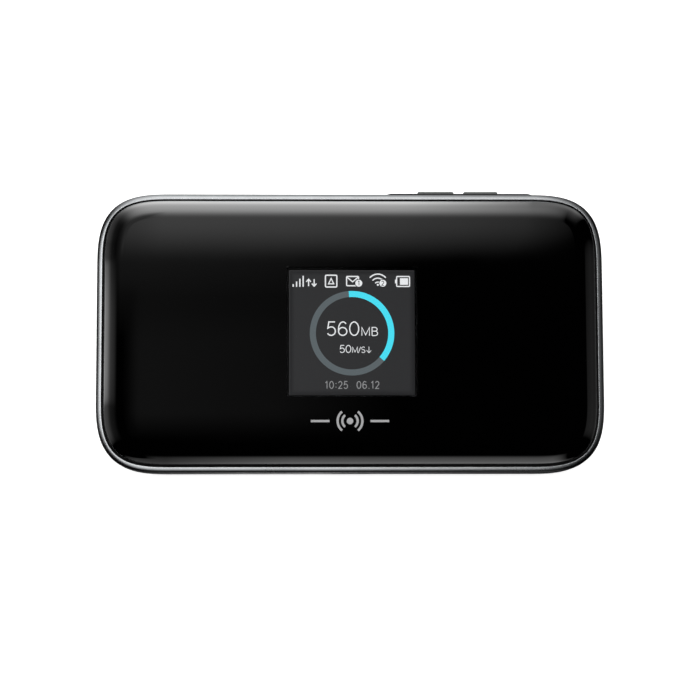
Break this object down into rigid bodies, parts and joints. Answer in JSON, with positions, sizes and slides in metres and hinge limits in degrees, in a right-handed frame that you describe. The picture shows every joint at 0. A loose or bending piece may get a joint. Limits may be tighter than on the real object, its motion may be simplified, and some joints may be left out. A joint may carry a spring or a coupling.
{
  "type": "mobile hotspot",
  "caption": "Pocket battery router: glossy front with a square display, satin metal rim, edge push buttons, charging port, pull-off back cover over battery and card bay.",
  "frame": {"origin": "centre of the flat back face, on the surface that the device lies on", "axes": "+Z out of the front face, +X along the long axis to the right of the display, +Y to the edge with the two push buttons"},
  "size_m": [0.1124, 0.0638, 0.016],
  "materials": {
    "front_gloss": "high-gloss black",
    "window_clear": "clear tinted",
    "rim_metal": "satin gunmetal",
    "housing_black": "fine matte black",
    "back_black": "fine textured black",
    "button_grey": "satin dark grey",
    "display_glass": "polarised glass",
    "backlight_white": "white diffuser",
    "foam_dark": "open foam",
    "flex_amber": "polyimide film",
    "board_green": "solder mask",
    "shield_tin": "tinned steel",
    "chip_black": "moulded epoxy",
    "passive_tan": "ceramic",
    "thermal_grey": "soft silicone",
    "port_steel": "plated steel",
    "tongue_black": "moulded",
    "contact_gold": "gold plated",
    "connector_white": "moulded",
    "battery_grey": "wrapped film",
    "label_blank": "printed film, left blank",
    "antenna_copper": "plated",
    "screw_steel": "black nickel",
    "card_white": "white card"
  },
  "bodies": {
    "chassis": {"front_cover": "front_gloss", "display_window": "window_clear", "rim_frame": "rim_metal", "middle_housing": "housing_black", "display_gasket": "foam_dark", "display_panel": "display_glass", "display_backlight": "backlight_white", "display_flex": "flex_amber", "display_connector": "connector_white", "main_board": "board_green", "shield_baseband": "shield_tin", "shield_rf": "shield_tin", "shield_wifi": "shield_tin", "baseband_processor": "chip_black", "memory_chip": "chip_black", "thermal_pad": "thermal_grey", "rf_amplifier": "chip_black", "wifi_chip": "chip_black", "power_manager_chip": "chip_black", "board_passives": "passive_tan", "usb_connector": "port_steel", "usb_tongue": "tongue_black", "sim_socket": "port_steel", "microsd_socket": "port_steel", "battery_connector": "tongue_black", "battery_contacts": "contact_gold", "power_switch": "port_steel", "menu_switch": "port_steel", "reset_switch": "port_steel", "main_antenna": "antenna_copper", "diversity_antenna": "antenna_copper", "wifi_antenna_a": "antenna_copper", "wifi_antenna_b": "antenna_copper", "antenna_springs": "contact_gold", "housing_screws": "screw_steel", "bay_label": "label_blank"},
    "power_key": {"power_button": "button_grey", "power_plunger": "tongue_black"},
    "menu_key": {"menu_button": "button_grey", "menu_plunger": "tongue_black"},
    "reset_key": {"reset_plunger": "tongue_black"},
    "card": {"sim_card": "card_white", "sim_contacts": "contact_gold"},
    "cover": {"back_cover": "back_black", "cover_foam": "foam_dark"},
    "battery": {"battery_pack": "battery_grey", "battery_terminals": "contact_gold", "battery_label": "label_blank"}
  },
  "joints": [
    {"name": "power_press", "type": "slide", "parent": "chassis", "child": "power_key", "axis": [0, -1, 0], "range_m": [0, 0.0003], "stiffness_N_per_m": 1200, "springref_m": -0.0004},
    {"name": "menu_press", "type": "slide", "parent": "chassis", "child": "menu_key", "axis": [0, -1, 0], "range_m": [0, 0.0003], "stiffness_N_per_m": 1200, "springref_m": -0.0004},
    {"name": "reset_press", "type": "slide", "parent": "chassis", "child": "reset_key", "axis": [0, 0, 1], "range_m": [0, 0.00025], "stiffness_N_per_m": 800, "springref_m": -0.0004},
    {"name": "card_slide", "type": "slide", "parent": "chassis", "child": "card", "axis": [-1, 0, 0], "range_m": [0, 0.014]},
    {"name": "cover_lift", "type": "slide", "parent": "chassis", "child": "cover", "axis": [0, 0, -1], "range_m": [0, 0.04]},
    {"name": "battery_lift", "type": "slide", "parent": "chassis", "child": "battery", "axis": [0, 0, -1], "range_m": [0, 0.02]}
  ],
  "couplings": [
    {"joint": "battery_lift", "follows": "cover_lift", "ratio": 0.5}
  ]
}
